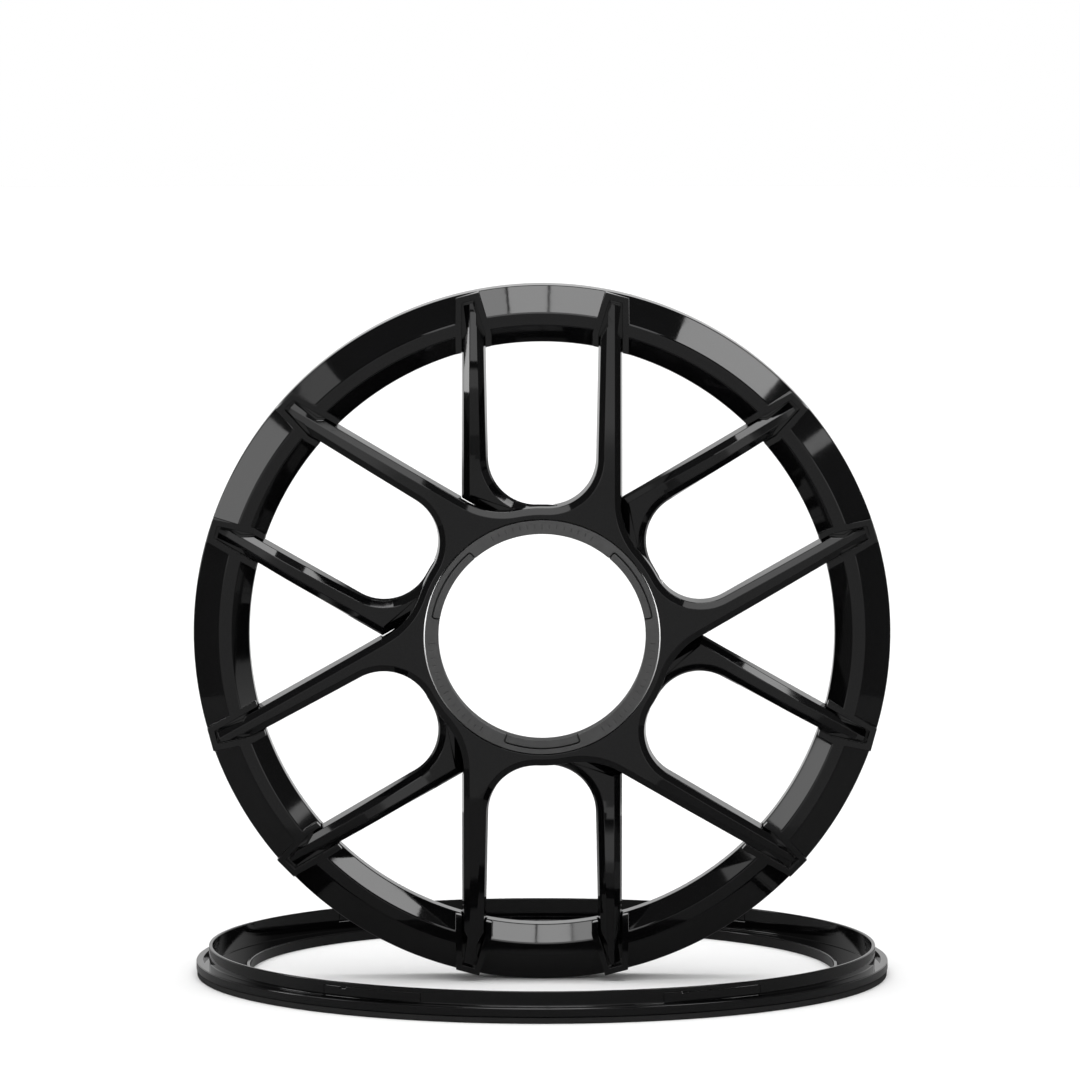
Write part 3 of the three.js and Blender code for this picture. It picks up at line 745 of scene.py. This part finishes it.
mount = turned_ring("mount", [
    (MOUNT_INNER_R, 0, 0.3), (160, 0, 0.2), (160, FLANGE_Z[0], 0.2),
    (FLANGE_R, FLANGE_Z[0], 0.35), (FLANGE_R, FLANGE_Z[1], 0.6), (COLLAR_R[1], FLANGE_Z[1], 0.4),
    (COLLAR_R[1], COLLAR_TOP, 0.45), (COLLAR_R[0], COLLAR_TOP, 0.45), (COLLAR_R[0], LEDGE_TOP, 0.5),
    (142.2, LEDGE_TOP, 0.3), (141.2, LIP_TOP, 0.5), (MOUNT_INNER_R, LIP_TOP, 0.5),
])
slot_turn = degrees(LATCH_SLOT / COLLAR_R[1])
slot_top = LATCH_Z[1] + LATCH_SLOT
windows = []
teeth = []
for middle in LATCH_MIDDLES:
    start, end = middle - LATCH_ARC / 2 - slot_turn, middle + LATCH_ARC / 2 + slot_turn
    windows.append(curved_bar("window", (155.3, 159.5), (LATCH_Z[0] - 0.4, slot_top), start, end))
    windows.append(curved_bar("recess", (158.8, 161.7), (5.2, 8.2), start, end))
    notch = middle - LATCH_ARC / 2 + NOTCH_FROM_END
    teeth.append(curved_bar(
        "tooth", (COLLAR_R[0] + 0.1, COLLAR_R[1] - 0.1), (slot_top - NOTCH_DEPTH, slot_top + 0.5),
        notch + slot_turn, notch + 1, steps=4))
for window in windows:
    combine(mount, window, "DIFFERENCE")
combine(mount, join("teeth", teeth), "UNION")
soften_edges(mount, 0.14, sharper_than=40)
lay_down(mount)
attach(mount, "ring")
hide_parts("mounting_ring")
give(mount, abs_black)

# ---------------------------------------------------------------------------------------------
# Latches: six spring tongues of the collar, free at one end and rooted at the other. A notch in
# the top edge catches on a tooth when the wheel is twisted on. Same moulding as the ring.
# ---------------------------------------------------------------------------------------------
for number, middle in enumerate(LATCH_MIDDLES, 1):
    tongue_bar = curved_bar(
        f"latch_tongue_{number}", COLLAR_R, (LATCH_Z[0] - TONGUE_UNDER, LATCH_Z[1] + TONGUE_OVER),
        middle - LATCH_ARC / 2 - TONGUE_TURN, middle + LATCH_ARC / 2 + TONGUE_TURN)
    notch = middle - LATCH_ARC / 2 + NOTCH_FROM_END
    notch_cut = curved_bar(
        "notch", (155, 161), (LATCH_Z[1] - NOTCH_DEPTH + TONGUE_OVER, LATCH_Z[1] + 1),
        notch, notch + 1.2, steps=6)
    combine(tongue_bar, notch_cut, "DIFFERENCE")
    soften_edges(tongue_bar, 0.12, sharper_than=40)
    lay_down(tongue_bar)
    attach(tongue_bar, f"latch_{number}_tongue")
    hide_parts(f"latch_{number}")
    give(tongue_bar, abs_black)

# ---------------------------------------------------------------------------------------------
# Gasket: a die-cut band of closed-cell EPDM foam stuck under the flange. It seals the ring to the
# panel and keeps it from marking the surface.
# ---------------------------------------------------------------------------------------------
seal = turned_ring("seal", [(160.3, 0, 0.3), (164.6, 0, 0.5), (164.6, 2.9, 0.5), (160.3, 2.9, 0.3)])
soften_edges(seal, 0.05, sharper_than=60)
lay_down(seal)
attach(seal, "ring")
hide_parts("gasket")
# EPDM foam: dull black with a fine closed-cell texture about 0.4 mm across and a dusty bloom.
foam, tree, shader = new_material("closed-cell EPDM foam")
place = add_node(tree, "ShaderNodeTexCoord", {}).outputs["Object"]
cells = add_node(tree, "ShaderNodeTexVoronoi", {"Vector": place, "Scale": 2500})
bloom = add_node(tree, "ShaderNodeTexNoise", {"Vector": place, "Scale": 90, "Detail": 4})
dusty = add_node(
    tree, "ShaderNodeMix",
    {"Factor": bloom.outputs["Fac"], "A": linear("#0d0d0d"), "B": linear("#191919")},
    data_type="RGBA")
tree.links.new(dusty.outputs["Result"], shader.inputs["Base Color"])
matt = add_node(
    tree, "ShaderNodeMapRange", {"Value": cells.outputs["Distance"], "To Min": 0.7, "To Max": 0.9})
tree.links.new(matt.outputs["Result"], shader.inputs["Roughness"])
cell_bump = add_node(
    tree, "ShaderNodeBump",
    {"Height": cells.outputs["Distance"], "Strength": 0.5, "Distance": 0.0001})
tree.links.new(cell_bump.outputs["Normal"], shader.inputs["Normal"])
give(seal, foam)

# ---------------------------------------------------------------------------------------------
# Studio: a plain white floor and surround for the camera, with soft boxes overhead, to the left
# and to the right. The gloss sees a grey disc of floor near the object and a darker surround.
# ---------------------------------------------------------------------------------------------
FLOOR_R = 8
GLOSS_FLOOR_R = 0.62
# Just under the white floor, so that the two don't share a plane.
GLOSS_FLOOR_Z = -0.0002
floor_white, tree, shader = new_material("white studio floor")
place = add_node(tree, "ShaderNodeTexCoord", {}).outputs["Object"]
paper = add_node(tree, "ShaderNodeTexNoise", {"Vector": place, "Scale": 900, "Detail": 3})
fibre = add_node(
    tree, "ShaderNodeMapRange", {"Value": paper.outputs["Fac"], "To Min": 0.75, "To Max": 0.85})
tree.links.new(fibre.outputs["Result"], shader.inputs["Roughness"])
shader.inputs["Base Color"].default_value = linear("#e8e8e8")
shader.inputs["Specular IOR Level"].default_value = 0.2
# The same paper, greyer, is all that the gloss sees of the floor.
floor_grey = floor_white.copy()
floor_grey.name = "grey studio floor"
floor_grey.node_tree.nodes["Principled BSDF"].inputs["Base Color"].default_value = linear("#b0b0b0")


def floor_disc(name, radius, height, material):
    bpy.ops.object.select_all(action="DESELECT")
    bpy.ops.mesh.primitive_circle_add(
        vertices=128, radius=radius, fill_type="NGON", location=(0, 0, height))
    bpy.ops.object.transform_apply(location=True)
    disc = bpy.context.object
    disc.name = name
    disc.visible_shadow = False
    give(disc, material)
    return disc


floor = floor_disc("floor", FLOOR_R, 0, floor_white)
floor.visible_glossy = False
gloss_floor = floor_disc("gloss_floor", GLOSS_FLOOR_R, GLOSS_FLOOR_Z, floor_grey)
gloss_floor.visible_camera = False
gloss_floor.visible_diffuse = False

wheel_middle = axle + Vector((0, -0.03, 0))


def softbox(name, azimuth, elevation, distance, wide, tall, radiance):
    """A soft box aimed at the wheel. Azimuth 0 is the front, and positive is to the right."""
    az, el = radians(azimuth), radians(elevation)
    direction = Vector((cos(el) * sin(az), -cos(el) * cos(az), sin(el)))
    bpy.ops.object.light_add(type="AREA", location=wheel_middle + direction * distance)
    box = bpy.context.object
    box.name = name
    box.rotation_euler = direction.to_track_quat("Z", "Y").to_euler()
    box.data.shape = "RECTANGLE"
    box.data.size = wide
    box.data.size_y = tall
    box.data.energy = radiance * pi * wide * tall
    box.visible_diffuse = False


def overhead(name, left, right, front_edge, back_edge, height, radiance):
    """A level panel above the wheel. Its edges are given for a height of one."""
    wide, deep = (right - left) * height, (back_edge - front_edge) * height
    over = Vector(((left + right) / 2, (front_edge + back_edge) / 2, 1)) * height
    bpy.ops.object.light_add(type="AREA", location=over + wheel_middle)
    panel = bpy.context.object
    panel.name = name
    panel.data.shape = "RECTANGLE"
    panel.data.size = wide
    panel.data.size_y = deep
    panel.data.energy = radiance * pi * wide * deep
    panel.visible_diffuse = False


overhead("top_left", -0.25, -0.116, -0.42, 0.3, 1.2, 4.2)
overhead("top_middle", -0.108, 0.018, -0.42, 0.3, 1.2, 5.6)
overhead("top_right", 0.026, 0.2, -0.42, 0.3, 1.2, 5.6)
overhead("right_panel", 0.5, 1.06, -0.5, -0.08, 1.2, 5.6)
overhead("front_panel", -0.45, 0.45, -2.6, -0.5, 1.2, 1.9)
softbox("left_box", -79, 24, 1.5, 0.5, 0.5, 2.6)
softbox("left_bright", -94, 13, 1.5, 0.3, 0.47, 6.5)
softbox("left_high", -69, 40, 1.5, 0.2, 0.35, 1.1)
softbox("right_slim", 72, 30, 1.5, 0.3, 0.07, 2.2)
for name, spread, strength in (("key_wash", 60, 1.7), ("sky_wash", 170, 2.7)):
    bpy.ops.object.light_add(type="SUN", location=(0, 0, 3))
    wash = bpy.context.object
    wash.name = name
    wash.data.angle = radians(spread)
    wash.data.energy = strength
    wash.visible_glossy = False


def grey(value):
    return (value, value, value, 1)


def smooth_step(tree, value, start, end):
    """Rises smoothly from 0 to 1 as the value goes from start to end."""
    return add_node(
        tree, "ShaderNodeMapRange", {"Value": value, "From Min": start, "From Max": end},
        interpolation_type="SMOOTHSTEP").outputs["Result"]


world = bpy.data.worlds.new("studio")
bpy.context.scene.world = world
world.use_nodes = True
tree = world.node_tree
direction = add_node(tree, "ShaderNodeTexCoord", {}).outputs["Generated"]
axes = add_node(tree, "ShaderNodeSeparateXYZ", {"Vector": direction})
upward = add_node(
    tree, "ShaderNodeMapRange", {"Value": axes.outputs["Z"], "From Min": -1, "From Max": 1})
low_front = add_node(tree, "ShaderNodeValToRGB", {"Fac": upward.outputs["Result"]})
ramp_stops = low_front.color_ramp.elements
ramp_stops[0].position, ramp_stops[0].color = 0, grey(0.3)
ramp_stops[1].position, ramp_stops[1].color = 1, grey(0.03)
for position, value in ((0.47, 0.42), (0.5, 0.5), (0.52, 1), (0.61, 1), (0.63, 0.06)):
    ramp_stops.new(position).color = grey(value)
facing_front = smooth_step(tree, axes.outputs["Y"], -0.55, -0.85)
facing_back = smooth_step(tree, axes.outputs["Y"], 0.35, 0.7)
low_half = smooth_step(tree, axes.outputs["Z"], 0.35, 0.25)
behind = add_node(tree, "ShaderNodeMath", {0: facing_back, 1: low_half}, operation="MULTIPLY")
side_and_front = add_node(
    tree, "ShaderNodeMix",
    {"Factor": facing_front, "A": grey(0.1), "B": low_front.outputs["Color"]}, data_type="RGBA")
surround = add_node(
    tree, "ShaderNodeMix",
    {"Factor": behind.outputs["Value"], "A": side_and_front.outputs["Result"], "B": grey(0.66)},
    data_type="RGBA")
seen = add_node(
    tree, "ShaderNodeMix",
    {"Factor": add_node(tree, "ShaderNodeLightPath", {}).outputs["Is Camera Ray"],
     "A": surround.outputs["Result"], "B": grey(1)}, data_type="RGBA")
background = tree.nodes["Background"]
tree.links.new(seen.outputs["Result"], background.inputs["Color"])
background.inputs["Strength"].default_value = 1

bpy.context.scene.view_settings.view_transform = "Standard"

# Long lens, level with the front, looking slightly down.
CAMERA_PITCH = radians(5.2)
CAMERA_DISTANCE = 3.79
CAMERA_LENS = 267.9
aim = axle + Vector((-0.00098, -0.03, 0.0453))
bpy.ops.object.camera_add(
    location=aim + Vector((0, -cos(CAMERA_PITCH), sin(CAMERA_PITCH))) * CAMERA_DISTANCE,
    rotation=(pi / 2 - CAMERA_PITCH, 0, 0))
camera = bpy.context.object
camera.data.sensor_width = 36
camera.data.lens = CAMERA_LENS
camera.data.clip_end = 100
bpy.context.scene.camera = camera
